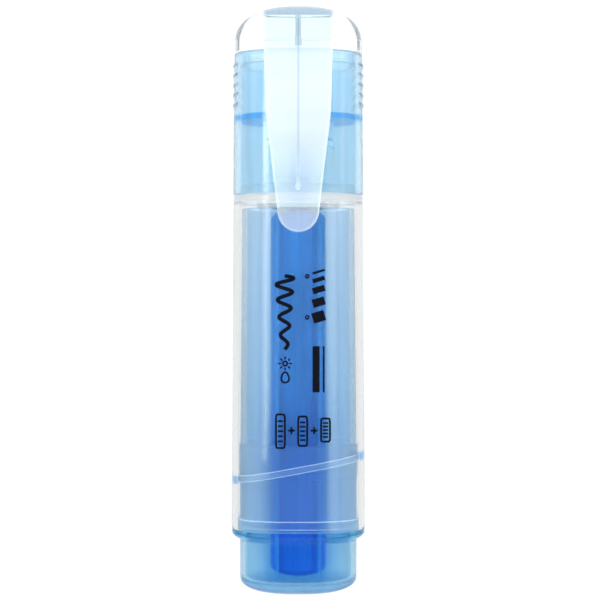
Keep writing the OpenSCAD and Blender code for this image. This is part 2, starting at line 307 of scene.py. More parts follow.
def joined(parts):
    """One set of points, quads and triangles from several closed parts, each turned outward."""
    points, quads, triangles, base = [], [], [], 0
    for p, q, t in parts:
        q, t = outward(p, q, t)
        points.append(p)
        quads.append(q + base)
        triangles.append(t + base)
        base += len(p)
    return np.vstack(points), np.vstack(quads), np.vstack(triangles)


def finish_piece(piece, material, body, slot, *nodes):
    """Gives a piece its material and body and hides the frame nodes that it stands for; slot is not used."""
    piece.data.materials.append(material)
    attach(piece, body)
    if nodes:
        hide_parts(*nodes)
    return piece


def barrel_half_width(y, size):
    """The barrel's outer half width, which falls evenly from its rim to its shoulder."""
    share = (np.asarray(y, float) - Y_RIM) / (Y_SHOULDER - Y_RIM)
    return HALF_W - size["barrel_draft"] * share


def oval_front(x, half_w, half_t):
    """Height of an oval's front over its axis at x: b times (1 - |x/a|^n)^(1/n), cut flat at b."""
    share = np.clip(1 - np.abs(np.asarray(x, float) / half_w) ** OVAL_POWER, 0, None)
    return half_t * np.minimum(1, FLAT_SHARE * share ** (1 / OVAL_POWER))


# ------------------------------------------------------------------------------------------------
# Materials
# ------------------------------------------------------------------------------------------------

class Tree:
    """A material's node tree, with short ways to add and link nodes."""

    def __init__(self, name):
        self.material = bpy.data.materials.new(name)
        self.material.use_nodes = True
        self.nodes = self.material.node_tree.nodes
        self.nodes.clear()
        self.out = self.add("ShaderNodeOutputMaterial")
        self.place = self.add("ShaderNodeTexCoord").outputs["Object"]

    def feed(self, target, value):
        """Links a socket to another's output, or sets its value. A colour's three numbers get an alpha."""
        if isinstance(value, bpy.types.NodeSocket):
            self.material.node_tree.links.new(value, target)
        elif target.type == "RGBA":
            target.default_value = (*value, 1)
        else:
            target.default_value = value

    def add(self, kind, **inputs):
        """A new node, whose inputs are fed by their labels, with underscores for spaces."""
        node = self.nodes.new(kind)
        for label, value in inputs.items():
            self.feed(node.inputs[label.replace("_", " ")], value)
        return node

    def principled(self, **inputs):
        """The shader of a Principled node."""
        return self.add("ShaderNodeBsdfPrincipled", **inputs).outputs["BSDF"]

    def math(self, operation, *values):
        """A Math node on numbers or sockets."""
        node = self.add("ShaderNodeMath")
        node.operation = operation
        for target, value in zip(node.inputs, values):
            self.feed(target, value)
        return node.outputs["Value"]

    def noise(self, scale, stretch=(1, 1, 1), detail=3.0, roughness=0.5):
        """Noise on the piece's own coordinates, stretched by a Mapping node."""
        mapping = self.add("ShaderNodeMapping", Vector=self.place, Scale=stretch)
        node = self.add(
            "ShaderNodeTexNoise", Vector=mapping.outputs["Vector"], Scale=scale, Detail=detail,
            Roughness=roughness,
        )
        return node.outputs["Fac"]

    def spread(self, value, low, high, out_low, out_high):
        """Maps a value from one range to another, clamped."""
        node = self.add(
            "ShaderNodeMapRange", Value=value, From_Min=low, From_Max=high, To_Min=out_low, To_Max=out_high,
        )
        return node.outputs["Result"]

    def bump(self, height, strength, distance):
        """A bump from a height."""
        node = self.add("ShaderNodeBump", Height=height, Strength=strength, Distance=distance)
        return node.outputs["Normal"]

    def colour_mix(self, factor, first, second):
        """A colour between two, by a factor socket."""
        node = self.nodes.new("ShaderNodeMix")
        node.data_type = "RGBA"
        for i, value in ((0, factor), (6, first), (7, second)):
            self.feed(node.inputs[i], value)
        return node.outputs[2]

    def shaded(self, factor, tint, share):
        """A tint that darkens to a share of itself where factor is low."""
        return self.colour_mix(factor, [c * share for c in tint], tint)

    def along(self, stops):
        """A colour that changes along the pen, from stops of (y in millimetres, colour)."""
        axes = self.add("ShaderNodeSeparateXYZ", Vector=self.place)
        share = self.spread(axes.outputs["Y"], Y_END * MM, Y_TOP * MM, 0, 1)
        ramp = self.add("ShaderNodeValToRGB", Fac=share)
        elements = ramp.color_ramp.elements
        elements.remove(elements[1])
        for i, (y, colour) in enumerate(stops):
            position = (y - Y_END) / (Y_TOP - Y_END)
            element = elements[0] if i == 0 else elements.new(position)
            element.position = position
            element.color = (*colour, 1)
        return ramp.outputs["Color"]

    def along_value(self, stops):
        """A number that changes along the pen, from stops of (y in millimetres, number)."""
        return self.along([(y, (value, value, value)) for y, value in stops])

    def patch(self, half, low, high, soft_x=0.1, soft_y=0.1, slope=0.0):
        """One inside a patch of the pen, |x| < half and low < y - slope x < high, with soft edges. With a
        negative half, the patch is out at the sides, where |x| is more than that."""
        axes = self.add("ShaderNodeSeparateXYZ", Vector=self.place)
        x, y = axes.outputs["X"], axes.outputs["Y"]
        reach, level = self.math("ABSOLUTE", x), self.math("MULTIPLY_ADD", x, -slope, y)
        inside = None
        for value, edge, soft, first in (
            (reach, abs(half), soft_x, int(half > 0)), (level, low, soft_y, 0), (level, high, soft_y, 1),
        ):
            share = self.spread(value, (edge - soft) * MM, (edge + soft) * MM, first, 1 - first)
            inside = self.math("MULTIPLY", inside, share) if inside is not None else share
        return inside

    def patched(self, base, patches):
        """A colour with patches over it, each given as its colour and then the sizes of the patch."""
        for colour, *places in patches:
            base = self.colour_mix(self.patch(*places), base, colour)
        return base

    def varied(self, colour, factor, amount):
        """A colour made darker by amount where factor is low, and lighter by amount where it is high."""
        gain = self.spread(factor, 0.32, 0.68, 1 - amount, 1 + amount)
        node = self.add("ShaderNodeVectorMath", Vector=colour)
        node.operation = "SCALE"
        self.feed(node.inputs["Scale"], gain)
        return node.outputs["Vector"]

    def lamp_open(self, shader, tint):
        """Lets lamp light through a see-through shader, tinted, so that what it holds is lit."""
        clear = self.add("ShaderNodeBsdfTransparent", Color=tint)
        path = self.add("ShaderNodeLightPath")
        mix = self.nodes.new("ShaderNodeMixShader")
        sources = path.outputs["Is Shadow Ray"], shader, clear.outputs["BSDF"]
        for target, source in zip(mix.inputs, sources):
            self.feed(target, source)
        return mix.outputs["Shader"]

    def deepen(self, tint, density):
        """Takes a little light in proportion to the plastic that it passes through."""
        volume = self.add("ShaderNodeVolumeAbsorption", Color=tint, Density=density)
        self.feed(self.out.inputs["Volume"], volume.outputs["Volume"])

    def finish(self, shader):
        """Sends a shader to the output and returns the material."""
        self.feed(self.out.inputs["Surface"], shader)
        return self.material


def even(value):
    """Stops for a value that stays the same along the pen."""
    return ((Y_MOUTH, value), (Y_SEAM, value))


def clear_plastic(name, tint, rough, opened, wave, density, patches):
    """Polished clear styrene: slightly wavy walls, faint scuffs in its gloss, a greyish depth in thick
    places, and painted patches of shade and of colour carried from the pieces behind it. Rough and opened are
    sets of stops along the pen; opened falls under 1 where the plastic is scuffed milky."""
    tree = Tree(name)
    scuffs = tree.noise(2200, (1, 0.12, 1), detail=4)
    waves = tree.noise(140, (1, 0.35, 1), detail=1)
    base = tree.patched(tree.shaded(waves, tint, 0.985), patches)
    body = tree.principled(
        IOR=1.5, Transmission_Weight=tree.along_value(opened), Base_Color=base,
        Roughness=tree.varied(tree.along_value(rough), scuffs, 0.3),
        Normal=tree.bump(waves, wave, 0.0004),
    )
    tree.deepen((0.05, 0.1, 0.12), density)
    return tree.finish(tree.lamp_open(body, [c ** 0.5 for c in tint]))


def frosted_plastic(name, tint, opened, rim=False, patches=()):
    """Clear plastic with a milky core and a satin gloss. Opened is a set of stops along the pen, and a piece
    with a rim is milky along its edges, a painted highlight, where its rim attribute nears 1."""
    tree = Tree(name)
    clouds = tree.noise(260, (1, 0.25, 1), detail=3)
    share = tree.along_value(opened)
    if rim:
        edge = tree.add("ShaderNodeAttribute")
        edge.attribute_name = "rim"
        share = tree.colour_mix(edge.outputs["Fac"], share, (0.05, 0.05, 0.05))
    body = tree.principled(
        IOR=1.5, Transmission_Weight=share,
        Base_Color=tree.patched(tree.shaded(clouds, tint, 0.97), patches),
        Roughness=tree.spread(clouds, 0.3, 0.7, 0.04, 0.12),
        Normal=tree.bump(clouds, 0.08, 0.0004),
    )
    return tree.finish(tree.lamp_open(body, (0.86, 0.93, 0.96)))


def soft_plastic(name, tint, alpha):
    """Thin translucent ribs that hardly bend light."""
    tree = Tree(name)
    clouds = tree.noise(300, (1, 0.2, 1), detail=2)
    body = tree.principled(
        IOR=1.45, Alpha=alpha,
        Base_Color=tree.shaded(clouds, tint, 0.9), Roughness=0.25,
        Normal=tree.bump(clouds, 0.1, 0.0002),
    )
    return tree.finish(body)


def tinted_plastic(name, stops, opened, rough, lamp, gloss=0.5, patches=()):
    """Translucent tinted polypropylene: milky, with flow streaks along the pen in its tint and its gloss.
    Opened, the share of light that goes straight through, and rough are sets of stops along the pen."""
    tree = Tree(name)
    streaks = tree.noise(900, (1, 0.03, 1), detail=3)
    clouds = tree.noise(160, (1, 0.3, 1), detail=2)
    base = tree.varied(tree.patched(tree.along(stops), patches), streaks, 0.08)
    body = tree.principled(
        IOR=1.34, Transmission_Weight=tree.along_value(opened), Base_Color=base,
        Roughness=tree.varied(tree.along_value(rough), clouds, 0.12),
        Normal=tree.bump(streaks, 0.08, 0.0003), Specular_IOR_Level=gloss,
    )
    return tree.finish(tree.lamp_open(body, lamp))


def film(name):
    """Thin clear film: it hardly bends light, so it is mostly open with a faint gloss and fine wrinkles."""
    tree = Tree(name)
    wrinkles = tree.noise(700, (1, 0.15, 1), detail=3)
    body = tree.principled(
        IOR=1.4, Alpha=0.08,
        Base_Color=tree.colour_mix(wrinkles, (0.02, 0.3, 0.85), (0.1, 0.5, 0.95)),
        Roughness=tree.spread(wrinkles, 0.3, 0.7, 0.12, 0.22), Normal=tree.bump(wrinkles, 0.12, 0.0002),
        Specular_IOR_Level=0.15,
    )
    return tree.finish(body)


def fibre(name, stops, grain, rough=0.75):
    """Bonded fibre soaked with ink: fine strands along the pen in its colour and its bump."""
    tree = Tree(name)
    strands = tree.noise(grain, (1, 0.02, 1), detail=5, roughness=0.65)
    blots = tree.noise(240, (1, 0.4, 1), detail=2)
    base = tree.varied(tree.varied(tree.along(stops), strands, 0.12), blots, 0.07)
    body = tree.principled(
        Base_Color=base, Roughness=rough,
        Normal=tree.bump(strands, 0.5, 0.0002), Specular_IOR_Level=0.0,
    )
    return tree.finish(body)


def moulded(name, tint, rough, subsurface=0.0, gloss=0.5):
    """Opaque or waxy moulded plastic with a fine mould texture."""
    tree = Tree(name)
    grain = tree.noise(1500, detail=4)
    clouds = tree.noise(180, detail=2)
    base = tree.colour_mix(clouds, [c * 0.93 for c in tint], [min(1.0, c * 1.05) for c in tint])
    body = tree.principled(
        Base_Color=base, IOR=1.49,
        Roughness=tree.spread(clouds, 0.3, 0.7, rough * 0.8, rough * 1.25),
        Normal=tree.bump(grain, 0.05, 0.0001), Subsurface_Weight=subsurface, Subsurface_Scale=0.002,
        Specular_IOR_Level=gloss,
    )
    return tree.finish(body)


# ------------------------------------------------------------------------------------------------
# Pieces
# ------------------------------------------------------------------------------------------------

# Body, slot and node that every piece of the ink tube shares
TUBE_PLACE = ("pen", "tube_plastic", "ink_tube")


class HIGHLIGHTER_OT_barrel(bpy.types.Operator):
    """Clear outer barrel: rim, drafted oval wall, shoulder, cap collar, round neck and stop ring"""

    bl_idname = "highlighter.barrel"
    bl_label = "Barrel"

    def execute(self, context):
        size = sizes()
        wall, cap_wall = size["barrel_wall"], size["cap_wall"]
        shoulder = HALF_W - size["barrel_draft"]
        cap_step, fit, neck_gap = 0.1, 0.2, 0.5
        collar_w, collar_t = shoulder + cap_step - cap_wall - fit, HALF_T - cap_wall - fit
        neck, bore = HALF_T - cap_wall - neck_gap, 5.3
        stop_w, stop_t, stop_y = 8.1, 5.9, Y_TUBE_TOP + 0.1
        middle, under = Y_RIM + 20, Y_SHOULDER - 1.2
        middle_w = barrel_half_width(middle, size)
        rows = [
            oval(Y_RIM, HALF_W, HALF_T),
            oval(middle, middle_w, HALF_T),
            oval(Y_SHOULDER, shoulder, HALF_T),
            oval(Y_SHOULDER, collar_w, collar_t),
            oval(Y_COLLAR, collar_w, collar_t),
            disc(Y_COLLAR, neck),
            disc(Y_NECK, neck),
            disc(Y_NECK, bore),
            (stop_y, bore, bore * 0.98, 2.0, 1.0),
            oval(stop_y, stop_w, stop_t),
            oval(under, stop_w, stop_t),
            oval(under, shoulder - wall, HALF_T - wall),
            oval(middle, middle_w - wall, HALF_T - wall),
            oval(Y_RIM, HALF_W - wall, HALF_T - wall),
        ]
        grid = section(soften(rows, size["edge"] * 1.6, closed=True), size["points"])
        piece = ring_piece("barrel_shell", grid)
        # the shoulder and the collar are scuffed by the cap, the wall and the neck stay polished
        rough = (
            (Y_RIM, 0.03), (Y_SHOULDER - 1.5, 0.03), (Y_SHOULDER - 1.1, 0.2), (Y_COLLAR + 0.2, 0.2),
            (Y_COLLAR + 0.6, 0.06),
        )
        opened = (
            (Y_RIM, 1.0), (Y_SHOULDER - 1.6, 1.0), (Y_SHOULDER - 1.2, 0.66), (Y_COLLAR + 0.2, 0.66),
            (Y_COLLAR + 0.6, 0.95),
        )
        # painted shade: the grey of the thick sides
        thick = ((0.76, 0.775, 0.775), -11.2, Y_RIM - 1, Y_SHOULDER - 1, 0.4, 0.2)
        # painted refraction: the slanted rib's blue carried out through the thick sides
        painted_rib_refraction = ((0.16, 0.42, 0.75), -11.9, RIB_Y - 0.75, RIB_Y + 0.75, 0.15, 0.12, RIB_SLOPE)
        clear = clear_plastic(
            "clear_barrel", colours().clear, rough, opened, wave=0.12, density=14.0, patches=(thick, painted_rib_refraction),
        )
        finish_piece(piece, clear, "pen", "clear_plastic", "barrel")
        return {"FINISHED"}


class HIGHLIGHTER_OT_ink_tube(bpy.types.Operator):
    """Tinted ink tube with its domed end, flange, press-in collar, band, slanted rib and guide ribs"""

    bl_idname = "highlighter.ink_tube"
    bl_label = "Ink tube"

    def execute(self, context):
        size = sizes()
        wall, count = size["tube_wall"], size["points"]
        bore_w, bore_t = HALF_W - size["barrel_wall"], HALF_T - size["barrel_wall"]
        tube_w, tube_t = bore_w - size["tube_gap"], bore_t - 0.6
        top_w = tube_w - size["barrel_draft"]
        press_w, press_t = bore_w - 0.08, bore_t - 0.08
        end_w, end_t = tube_w - 0.05, tube_t - 0.05
        band, band_low, band_high = 0.12, Y_RIM + 10, Y_RIM + 16.3
        floor, dish, dome_rise, dome_power = Y_END + 2.6, 1.4, 3.4, 2.4
        angle = np.linspace(0.06, 1, 12) * np.pi / 2
        share = np.sin(angle) ** (2 / dome_power)
        drop = dome_rise * (1 - np.cos(angle) ** (2 / dome_power))
        dome = [oval(Y_END + d, end_w * s, end_t * s) for d, s in zip(drop, share)]
        outside = [
            oval(Y_RIM - 2.3, end_w, end_t),
            oval(Y_RIM - 1.3, HALF_W - 0.3, HALF_T - 0.3),
            oval(Y_RIM - 0.9, HALF_W - 0.1, HALF_T - 0.1),
            oval(Y_RIM - 0.05, HALF_W - 0.1, HALF_T - 0.1),
            oval(Y_RIM - 0.05, press_w, press_t),
            oval(Y_RIM + 1.8, press_w, press_t),
            oval(Y_RIM + 2.1, tube_w, tube_t),
            oval(band_low, tube_w, tube_t),
            oval(band_low + 0.1, tube_w + band, tube_t + band),
            oval(band_high, tube_w + band, tube_t + band),
            oval(band_high + 0.1, tube_w - 0.05, tube_t),
            oval(Y_TUBE_TOP, top_w, tube_t),
            oval(Y_TUBE_TOP, top_w - wall, tube_t - wall),
            oval(floor + dish, end_w - wall, end_t - wall),
        ]
        # the inside rounds over to a flat floor, of which the last two rows lie near the middle
        turn = np.linspace(0.2, 1, 6) * np.pi / 2
        depth, narrow = dish * (1 - np.sin(turn)), 0.8 + 0.2 * np.cos(turn)
        inner = [oval(floor + d, (end_w - wall) * s, (end_t - wall) * s) for d, s in zip(depth, narrow)]
        middle = [oval(floor, (end_w - wall) * s, (end_t - wall) * s) for s in (0.5, 0.1)]
        body = soften(dome[-1:] + outside + inner[:1], size["edge"] * 0.8)
        rows = np.vstack([dome[:-1], body, inner[1:], middle])
        shade = colours()
        thick_end, flange = (0.08, 0.3, 0.6), (0.1, 0.48, 0.8)
        stops = (
            (Y_END + 1.0, thick_end), (Y_END + 2.8, (0.25, 0.52, 0.76)), (Y_END + 3.6, shade.tube_end),
            (Y_RIM - 2.3, shade.tube_end), (Y_RIM - 1.6, flange), (Y_RIM - 0.1, flange),
            (Y_RIM + 0.4, shade.tube_low), (Y_RIM + 8, shade.tube_low), (Y_TUBE_TOP, shade.tube_top),
        )
        # polished outside, satin inside the barrel up to the band, smoother above it
        rough = (
            (Y_END, 0.24), (Y_RIM - 0.1, 0.24), (Y_RIM + 0.4, 0.5), (band_high, 0.44),
            (band_high + 0.15, 0.23), (Y_TUBE_TOP, 0.12),
        )
        # painted light: the ink's blue spread sideways through the milky lower wall and through the end
        spread = ((0.2, 0.47, 0.74), 7.2, Y_RIM - 0.2, Y_RIM + 22, 2.4, 8.0)
        soaked = ((0.22, 0.52, 0.8), 6.6, Y_END + 3.4, Y_RIM - 2.4, 1.6, 0.9)
        opened = ((Y_END, 1.0), (Y_RIM - 1, 0.995), (Y_RIM + 2, 0.97), (Y_TUBE_TOP, 0.975))
        plastic = tinted_plastic(
            "tinted_tube", stops, opened, rough, lamp=(0.86, 0.92, 0.96), gloss=0.15,
            patches=(spread, soaked),
        )
        tube = capped_piece("ink_tube_shell", section(rows, count))
        finish_piece(tube, plastic, *TUBE_PLACE)

        reach_w = barrel_half_width(RIB_Y + RIB_SLOPE * HALF_W, size) - size["barrel_wall"] - 0.1
        reach_t = bore_t - 0.1
        foot_w, foot_t = tube_w + band + 0.01, tube_t + band + 0.01
        grid = band_points(RIB_Y, 0.7, (reach_w, reach_t), (foot_w, foot_t), RIB_SLOPE, 0.2, count)
        rib = ring_piece("slanted_rib", grid)
        finish_piece(rib, soft_plastic("rib_plastic", (0.5, 0.75, 0.95), 0.04), *TUBE_PLACE)
        # deep-blue ends, a hair proud of the rib: the stretches of it at the pen's two sides
        turn = np.linspace(0, 2 * np.pi, count, endpoint=False)
        ends = []
        for side in (0.0, np.pi):
            away = np.angle(np.exp(1j * (turn - side)))
            near = np.nonzero(np.abs(away) < 0.28)[0]
            near = near[np.argsort(away[near])]
            ends.append(capped_points(grid[:, near].transpose(1, 0, 2) * [1.0008, 1, 1.0008]))
        sides = make_piece("slanted_rib_ends", *joined(ends))
        finish_piece(sides, soft_plastic("rib_end_plastic", (0.06, 0.3, 0.62), 0.75), *TUBE_PLACE)
        # painted highlights: pale edges, the slanted rib's two and the two of the press-in collar
        crest, root = (reach_w + 0.02, reach_t + 0.02), (reach_w - 0.1, reach_t - 0.1)
        for label, at, slope, half, alpha in (
            ("slanted_rib_upper", RIB_Y + 0.6, RIB_SLOPE, 0.09, 0.21),
            ("slanted_rib_lower", RIB_Y - 0.6, RIB_SLOPE, 0.09, 0.14),
            ("collar_edge_upper", Y_RIM + 2.0, 0.0, 0.1, 0.3),
            ("collar_edge_lower", Y_RIM + 0.5, 0.0, 0.13, 0.4),
        ):
            ridge = ring_piece(label, band_points(at, half, crest, root, slope, 0.05, count))
            pale = soft_plastic(f"{label}_plastic", (0.7, 0.88, 1.0), alpha)
            finish_piece(ridge, pale, *TUBE_PLACE)

        low, high = floor + 1.3, Y_TUBE_TOP - 1
        rib_x, rib_w, rib_foot, rib_top = 4.05, 0.8, 4.5, tube_t - wall - 0.02
        parts = [
            bar_points(side * rib_x, low, high, face * rib_foot, face * rib_top, rib_w)
            for side in (-1, 1) for face in (-1, 1)
        ]
        ribs = make_piece("guide_ribs", *joined(parts))
        finish_piece(ribs, soft_plastic("guide_plastic", (0.06, 0.36, 0.75), 0.3), *TUBE_PLACE)
        return {"FINISHED"}


def band_points(middle, half, outer, inner, slope, cut, count):
    """A band round the pen: a rectangle of half height half, from the inner to the outer half sizes, with its
    corners softened, skinned round the oval and sheared by y = y + slope x."""
    edge = [
        oval(middle - half, *outer), oval(middle + half, *outer),
        oval(middle + half, *inner), oval(middle - half, *inner),
    ]
    grid = section(soften(edge, cut, closed=True), count)
    grid[..., 1] += slope * grid[..., 0]
    return grid


def bar_points(x, low, high, z_a, z_b, width):
    """A long bar along Y with rounded long edges: a rounded rectangle section carried from low to high."""
    z_low, z_high = min(z_a, z_b), max(z_a, z_b)
    middle = (z_low + z_high) / 2
    t = np.linspace(0, 2 * np.pi, 32, endpoint=False)
    bevel = 0.05
    y = np.array([low, low + bevel, high - bevel, high])[:, None]
    inset = np.array([0.85, 1, 1, 0.85])[:, None]
    px = x + width / 2 * signed_power(np.cos(t), 0.4) * inset
    pz = middle + (z_high - z_low) / 2 * signed_power(np.sin(t), 0.3) * inset
    return capped_points(np.stack([px, np.broadcast_to(y, px.shape), pz], axis=-1))


class HIGHLIGHTER_OT_reservoir(bpy.types.Operator):
    """Fibre reservoir, with shallow strands round it, and the film wound round it with an overlapped seam"""

    bl_idname = "highlighter.reservoir"
    bl_label = "Reservoir and film"

    def execute(self, context):
        radius, dome, count = RESERVOIR_HIGH[0], 1.8, 360
        low, high = RESERVOIR_LOW[1], RESERVOIR_HIGH[1]
        angle = np.linspace(0.04, 1, 12) * np.pi / 2
        drop, narrow = dome * (1 - np.cos(angle)), np.sin(angle)
        y = np.concatenate([low + drop, np.linspace(low + 3, high - 3, 40), high - drop[::-1]])
        k = np.concatenate([narrow, np.ones(40), narrow[::-1]])
        points = section([disc(a, radius * s) for a, s in zip(y, k)], count)
        # shallow grooves between the strands: two cosines round the rod
        t = np.linspace(0, 2 * np.pi, count, endpoint=False)
        strands = 0.012 * np.cos(45 * t) + 0.008 * np.cos(72 * t + 1)
        share = 1 - np.abs(strands)[None, :] / radius * k[:, None]
        points[..., [0, 2]] *= share[..., None]
        rod = capped_piece("reservoir_rod", points)
        shade = colours()
        stops = (
            (low, shade.ink_low), (Y_RIM, shade.ink_low), (Y_RIM + 9, shade.ink_top), (high, shade.ink_top),
        )
        finish_piece(rod, fibre("ink_fibre", stops, 5200), "pen", "ink_fibre", "reservoir")

        # the film is a spiral of a little over one turn, as thick as its sheet, carried along the rod
        overlap, gap, climb, sheet = 0.5, 0.04, 0.1, 0.05
        turn = np.linspace(0, 2 * np.pi + overlap, 200)
        spiral = radius + gap + climb * turn / turn[-1]
        way = np.stack([np.sin(turn), np.cos(turn)], axis=-1)
        outline = np.vstack([spiral[:, None] * way, ((spiral - sheet)[:, None] * way)[::-1]])
        ends = np.array([low + 1.6, low + 20, high - 20, high - 0.2])[:, None]
        count = len(outline)
        grid = np.stack(np.broadcast_arrays(outline[:, 0], ends, outline[:, 1]), axis=-1)
        j = np.arange(count // 2 - 1)
        lid = np.stack([j, j + 1, count - 2 - j, count - 1 - j], axis=-1)
        quads = np.vstack([grid_quads(4, count), lid[:, ::-1], lid + 3 * count])
        wrap = make_piece("reservoir_film", grid.reshape(-1, 3), quads)
        finish_piece(wrap, film("clear_film"), "pen", "wrap_film", "reservoir_wrap")
        return {"FINISHED"}


class HIGHLIGHTER_OT_nose(bpy.types.Operator):
    """Nose piece: skirt, flange, sealing land and cone, with a round hole for the nib"""

    bl_idname = "highlighter.nose"
    bl_label = "Nose piece"

    def execute(self, context):
        skirt, flange, land, hole, stem, wall = 5.25, 6.9, 5.9, 3.05, 1.8, 0.85
        foot, under, over, tip = Y_TUBE_TOP + 0.15, Y_NECK + 0.05, Y_NECK + 1.05, Y_NECK + 7
        profile = [
            (foot, skirt), (under, skirt), (under, flange), (over, flange), (over, land),
            (Y_NECK + 3.6, land), (tip, hole + 0.65), (tip, hole), (Y_NECK + 2, hole), (Y_NECK + 2, stem),
            (Y_NECK - 2, stem), (Y_NECK - 2, skirt - wall), (foot, skirt - wall),
        ]
        rows = soften([disc(y, r) for y, r in profile], 0.22, closed=True)
        piece = ring_piece("nose_piece", section(rows, 160))
        pale = moulded("pale_nose", colours().nose, rough=0.36, subsurface=0.3)
        finish_piece(piece, pale, "pen", "nose_plastic", "nose_holder")
        return {"FINISHED"}


class HIGHLIGHTER_OT_nib(bpy.types.Operator):
    """Felt nib: a rounded bar that narrows to a wedge, with its writing edge slanted, on a round stem"""

    bl_idname = "highlighter.nib"
    bl_label = "Nib"

    def execute(self, context):
        low, high = NIB_LOW[1], NIB_HIGH[1]
        bar = Y_NECK + 2.1
        half_w, half_t = NIB_HIGH[0], (NIB_HIGH[2] - NIB_LOW[2]) / 2
        slant, wedge, edge = 2.6, 4.0, 0.6
        # s is the distance along the bar from its foot to its tip, as a share
        s = np.concatenate([np.linspace(0, 0.55, 8), np.linspace(0.6, 0.985, 22), [0.995, 1.0]])
        y = bar + s * (high - bar)
        wedge_share = np.clip((y - (high - wedge)) / wedge, 0, 1)
        thick = half_t + (edge - half_t) * wedge_share
        ease = np.clip((1 - s) / 0.03, 0, 1) ** 0.5 * 0.12 + 0.88
        foot = np.clip(s / 0.02, 0, 1) ** 0.5 * 0.1 + 0.9
        squareness = 5.0
        k = ease * foot
        rows = np.column_stack([y, half_w * k, thick * k, np.full(len(s), squareness), np.ones(len(s))])
        points = section(rows, 160)
        grown = np.clip((points[..., 1] - (high - wedge - slant)) / (wedge + slant), 0, 1)
        points[..., 1] -= grown * slant * (points[..., 0] / (2 * half_w) + 0.5)
        # felt is a little uneven all over
        fuzz = np.abs(np.random.default_rng(7).normal(0, 0.012, points.shape[:2]))
        points[..., 0] *= 1 - fuzz / half_w
        points[..., 2] *= 1 - fuzz / half_t
        stem_r = 1.72
        stem = section([disc(low, 1.3), disc(low + 0.4, stem_r), disc(bar - 0.02, stem_r)], 96)
        piece = make_piece("nib_felt", *joined([capped_points(points), capped_points(stem)]))
        ink = colours().ink_top
        felt = fibre("nib_fibre", ((low, ink), (high, ink)), 7000, 0.85)
        finish_piece(piece, felt, "pen", "nib_felt", "nib")
        return {"FINISHED"}


class HIGHLIGHTER_OT_cap(bpy.types.Operator):
    """Tinted cap sleeve whose sides swell into finger ribs, and the inner cap that seals on the nose"""

    bl_idname = "highlighter.cap"
    bl_label = "Cap sleeve and liner"

    def execute(self, context):
        size = sizes()
        wall, count = size["cap_wall"], size["points"]
        mouth_w, draft = HALF_W - size["barrel_draft"] + 0.1, 0.2
        seam_w = mouth_w - draft
        pitch, first, ribs = 1.93, Y_SEAM - 2.1, 5
        rib_half, rib_rise, rib_reach = 0.3, 0.2, 4.7
        zone_low = first - (ribs - 1) * pitch - 0.6
        zone = np.linspace(zone_low, first + 0.6, 170)

        def outside(y):
            """A row of the outside, which falls evenly by its draft from the mouth to the seam."""
            return oval(y, mouth_w - draft * (y - Y_MOUTH) / (Y_SEAM - Y_MOUTH), HALF_T)

        rows = [
            oval(Y_SEAM, seam_w - wall, HALF_T - wall),
            oval(Y_MOUTH, mouth_w - wall, HALF_T - wall),
            oval(Y_MOUTH, mouth_w, HALF_T),
            outside(zone_low - 0.4),
            oval(Y_SEAM, seam_w, HALF_T),
        ]
        rows = soften(rows, size["edge"], closed=True)
        # the ribbed stretch goes in where the outside runs from below it to the seam
        crossing = (rows[:-1, 0] < zone_low) & (rows[1:, 0] > zone_low) & (rows[1:, 1] > seam_w - 0.5)
        at = np.nonzero(crossing)[0][-1] + 1
        rows = np.vstack([rows[:at], [outside(y) for y in zone], rows[at:]])
        points = section(rows, count)
        # each rib swells by exp(-(distance / half)^4), and fades out round the front and the back
        x, y, z = (points[..., i] for i in range(3))
        near = (y - first) / pitch
        near = np.abs(near - np.clip(np.round(near), 1 - ribs, 0)) * pitch
        swell = np.exp(-(near / rib_half) ** 4) * rib_rise
        window = 1 / (1 + np.exp((np.abs(z) - rib_reach) / 0.18))
        outer = (rows[:, 1] > seam_w - 0.05)[:, None]
        points[..., 0] += np.sign(x) * swell * window * outer * (np.abs(x) > 3)
        sleeve = ring_piece("cap_sleeve", points)
        tint = colours().cap
        # painted refraction: the liner's flange's blue, on the sides of the sleeve that it is pressed into
        pressed = ((0.1, 0.42, 0.8), -11.1, FLANGE_Y, FLANGE_Y + 1.1)
        plastic = tinted_plastic(
            "tinted_cap", even(tint), even(0.96), even(0.15), lamp=[c ** 0.5 for c in tint],
            patches=(pressed,),
        )
        finish_piece(sleeve, plastic, "cap", "cap_plastic", "cap_body")

        top, flange_w, flange_t = FLANGE_Y + 1.2, mouth_w - wall - 0.17, HALF_T - wall - 0.07
        cup, bore, middle, floor = 6.89, 6.0, 0.4, 1.0
        low, high = LINER_LOW[1], LINER_HIGH[1]
        rows = [
            disc(high - floor, middle), disc(high - floor, bore), disc(low, bore), disc(low, cup),
            disc(FLANGE_Y, cup), oval(FLANGE_Y, flange_w, flange_t), oval(top, flange_w, flange_t),
            disc(top, cup), disc(high, cup), disc(high, middle),
        ]
        liner = capped_piece("cap_liner_cup", section(soften(rows, 0.2), count))
        pale, deep = colours().liner, colours().liner_flange
        stops = (
            (FLANGE_Y - 0.3, pale), (FLANGE_Y - 0.1, deep), (top + 0.1, deep), (top + 0.3, pale),
        )
        plastic = tinted_plastic("milky_liner", stops, even(0.3), even(0.35), lamp=(0.85, 0.94, 0.98))
        finish_piece(liner, plastic, "cap", "liner_plastic", "cap_liner")
        return {"FINISHED"}


def dome_rows(y_base, straight, rise, half_w, half_t, power, steps=28):
    """Rows of a dome from its base to just short of its top: at angle p, the height is rise sin(p)^(2/n)
    and the section shrinks by cos(p)^(2/n)."""
    p = np.linspace(0, 1, steps) ** 0.85 * np.pi / 2 * 0.994
    k = np.cos(p) ** (2 / power)
    y = y_base + straight + rise * np.sin(p) ** (2 / power)
    return [oval(a, half_w * b, half_t * b) for a, b in zip(y, k)]


